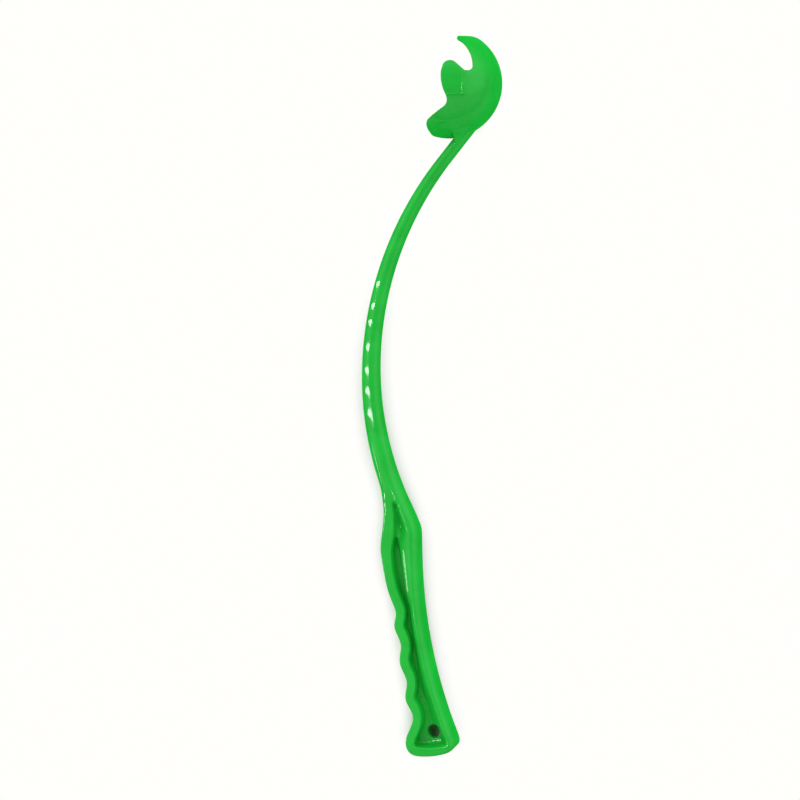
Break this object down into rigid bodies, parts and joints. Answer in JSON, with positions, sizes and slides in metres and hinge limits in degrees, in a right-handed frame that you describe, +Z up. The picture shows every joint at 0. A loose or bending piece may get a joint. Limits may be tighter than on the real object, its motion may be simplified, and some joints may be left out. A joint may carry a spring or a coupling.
{
  "type": "dog ball launcher stick",
  "caption": "Moulded plastic dog ball launcher: a claw-like cup that grips and throws a ball, a bowed springy shaft and a hollowed grip with finger grooves and a hang hole.",
  "frame": {"origin": "on the floor under the middle of the plan box of the stick as it lies", "axes": "+Z up from the floor; +Y along the stick, from the grip's heel to the cup; +X from the cup's mouth to its back, so the mouth faces -X. The stick's mid-plane leans, because it lies on two crests of the finger side and on the front edge of the right claw."},
  "size_m": [0.0913, 0.4646, 0.067],
  "materials": {
    "green_plastic": "glossy moulded polypropylene"
  },
  "bodies": {
    "grip": {"grip_frame": "green_plastic", "grip_web": "green_plastic", "shaft_lower": "green_plastic", "shaft_middle": "green_plastic"},
    "cup": {"shaft_upper": "green_plastic", "neck": "green_plastic", "cup_bowl": "green_plastic", "left_claw": "green_plastic", "right_claw": "green_plastic"},
    "top_claw_body": {"top_claw": "green_plastic"},
    "lower_lip_body": {"lower_lip": "green_plastic"}
  },
  "joints": [
    {"name": "shaft_whip", "type": "hinge", "parent": "grip", "child": "cup", "pos_m": [-0.0295, 0.08021, 0.01698], "axis": [-0.2636, -0.032, 0.9641], "range_deg": [-10, 10], "stiffness_Nm_per_rad": 4, "deforming": ["shaft_middle"]},
    {"name": "top_claw_flex", "type": "hinge", "parent": "cup", "child": "top_claw_body", "pos_m": [0.04279, 0.21016, 0.04106], "axis": [0.2636, 0.032, -0.9641], "range_deg": [0, 6], "stiffness_Nm_per_rad": 4},
    {"name": "lower_lip_flex", "type": "hinge", "parent": "cup", "child": "lower_lip_body", "pos_m": [0.01612, 0.16666, 0.03233], "axis": [-0.2636, -0.032, 0.9641], "range_deg": [0, 6], "stiffness_Nm_per_rad": 4}
  ]
}
